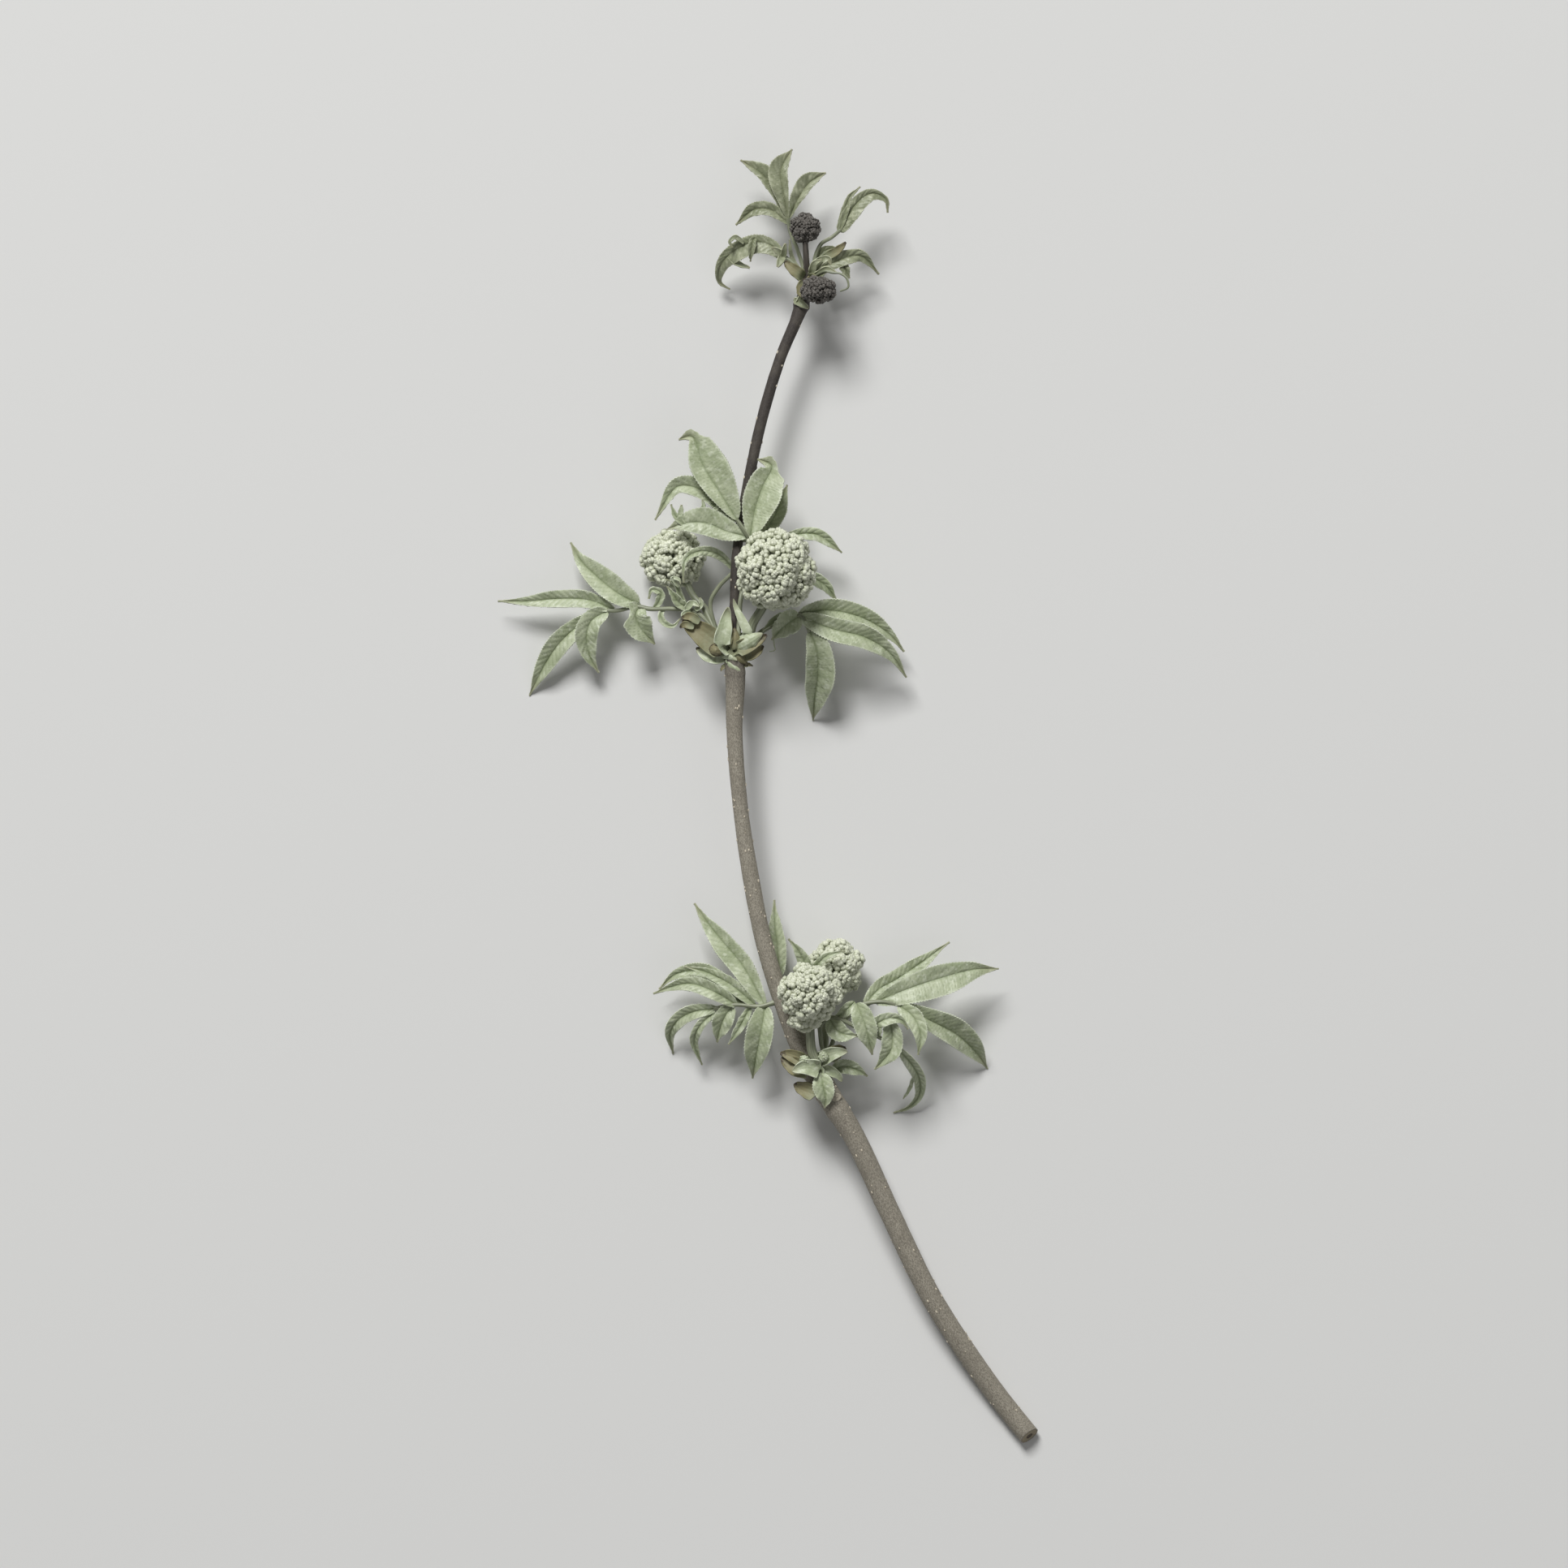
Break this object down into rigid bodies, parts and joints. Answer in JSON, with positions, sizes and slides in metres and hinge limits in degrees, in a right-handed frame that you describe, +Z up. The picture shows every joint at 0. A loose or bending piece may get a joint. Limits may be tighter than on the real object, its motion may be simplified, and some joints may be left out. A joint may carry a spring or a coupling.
{
  "type": "cut elder branch with bud heads",
  "caption": "Cut elder branch lying flat: a curved woody stem, serrated pinnate leaves at its nodes and round heads of closed flower buds on short stalks.",
  "frame": {"origin": "middle of the branch's bounding box, on the plane it lies on", "axes": "+Y along the branch towards its tip, +Z up from the plane it lies on, +X to the side its cut end bends to"},
  "size_m": [0.1341, 0.3205, 0.032],
  "materials": {
    "bark": "matte young bark with pale raised lenticels",
    "green_buds": "satin skin of closed flower buds",
    "dark_buds": "matte dark buds",
    "leaf": "matte blistered blade with sunk veins",
    "young_leaf": "matte young blade",
    "bud_scale": "matte papery scale, darker at its tip"
  },
  "bodies": {
    "root": {"stem": "bark", "bud_head_middle_right": "green_buds", "bud_head_middle_left": "green_buds", "bud_head_lower_front": "green_buds", "bud_head_lower_back": "green_buds", "bud_head_top": "dark_buds", "bud_mass_top": "dark_buds", "leaf_middle_upper": "leaf", "leaf_middle_back": "leaf", "leaf_middle_left": "leaf", "leaf_middle_right": "leaf", "leaf_lower_left": "leaf", "leaf_lower_behind": "leaf", "leaf_lower_between": "leaf", "leaf_lower_right": "leaf", "leaf_lower_front": "leaf", "leaf_lower_side": "leaf", "leaf_lower_face": "leaf", "leaf_top_upper": "young_leaf", "leaf_top_right": "young_leaf", "leaf_top_left": "young_leaf", "bud_scales_middle": "bud_scale", "bud_scale_middle_right": "bud_scale", "bud_scale_lower_left": "bud_scale", "bud_scale_lower_round": "bud_scale", "bud_scale_lower_right": "bud_scale", "bud_scale_top": "bud_scale"}
  },
  "joints": []
}
